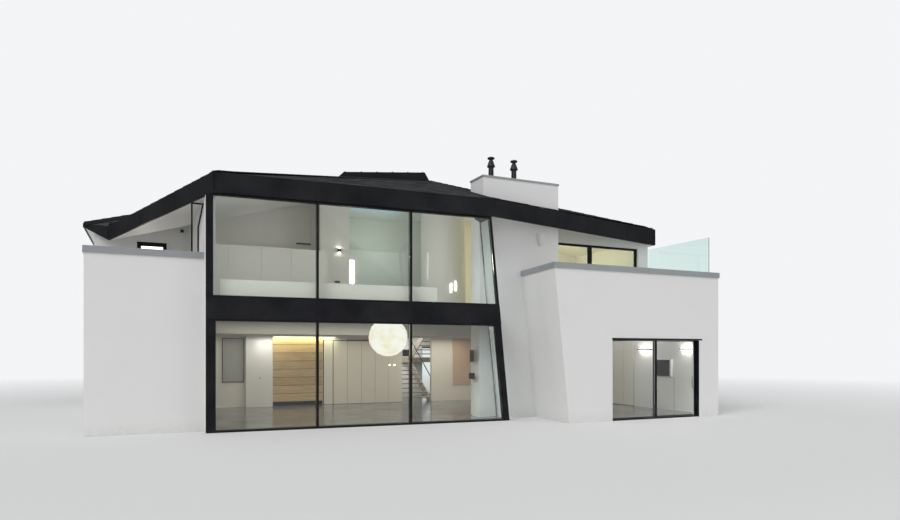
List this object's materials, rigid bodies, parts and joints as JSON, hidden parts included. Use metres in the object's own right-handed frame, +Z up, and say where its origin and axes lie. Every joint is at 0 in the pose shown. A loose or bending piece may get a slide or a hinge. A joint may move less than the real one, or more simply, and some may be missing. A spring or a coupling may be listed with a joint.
{
  "type": "detached house",
  "caption": "Modern detached house with a folded slate roof, a leaning glazed front between white wings, roof terraces and a sliding garden door.",
  "frame": {"origin": "under the middle of the house's box, at ground level", "axes": "+X along the garden front to the right, +Y back into the house, +Z up"},
  "size_m": [19.2, 14.11, 8.5286],
  "materials": {
    "render": "smooth painted render",
    "floor": "honed pale stone",
    "plaster": "painted plaster",
    "coping": "satin",
    "slate": "riven slate",
    "fascia": "satin dark",
    "lining": "painted boards",
    "frame": "satin dark",
    "door": "satin dark, glazed",
    "glass": "clear",
    "flue": "matt",
    "timber": "oiled boards",
    "joinery": "painted",
    "stair": "painted",
    "lamp": "opal, lit"
  },
  "bodies": {
    "house": {"ground_floor": "floor", "upper_floor": "floor", "rear_floor": "floor", "ground_ceiling": "plaster", "left_front_wall": "render", "left_side_wall": "render", "terrace_back_wall": "render", "box_side_wall": "render", "back_wall": "render", "right_side_wall": "render", "upper_right_side_wall": "render", "upper_window_wall": "render", "wing_front_left": "render", "wing_front_right": "render", "wing_front_over": "render", "wing_left_wall": "render", "chimney_breast": "render", "chimney_coping": "coping", "flue_cowls": "flue", "roof_slopes": "slate", "roof_fascia": "fascia", "roof_lining": "lining", "rooflight": "fascia", "parapet_copings": "coping", "floor_band": "fascia", "lower_front_frame": "frame", "upper_front_frame": "frame", "lower_front_glass": "glass", "upper_front_glass": "glass", "door_frame": "frame", "fixed_door_leaf": "door", "window_frames": "frame", "window_glass": "glass", "entrance_door": "door", "terrace_door": "door", "terrace_stays": "frame", "screen_glass": "glass", "ground_inner_wall": "plaster", "timber_panel": "timber", "upper_inner_walls": "plaster", "curved_wall": "plaster", "upper_joinery": "joinery", "stair": "stair", "globe_lamp": "lamp"},
    "door_leaf": {"sliding_door_leaf": "door"}
  },
  "joints": [
    {"name": "door_slide", "type": "slide", "parent": "house", "child": "door_leaf", "axis": [-1, 0, 0], "range_m": [0, 1.65]}
  ]
}
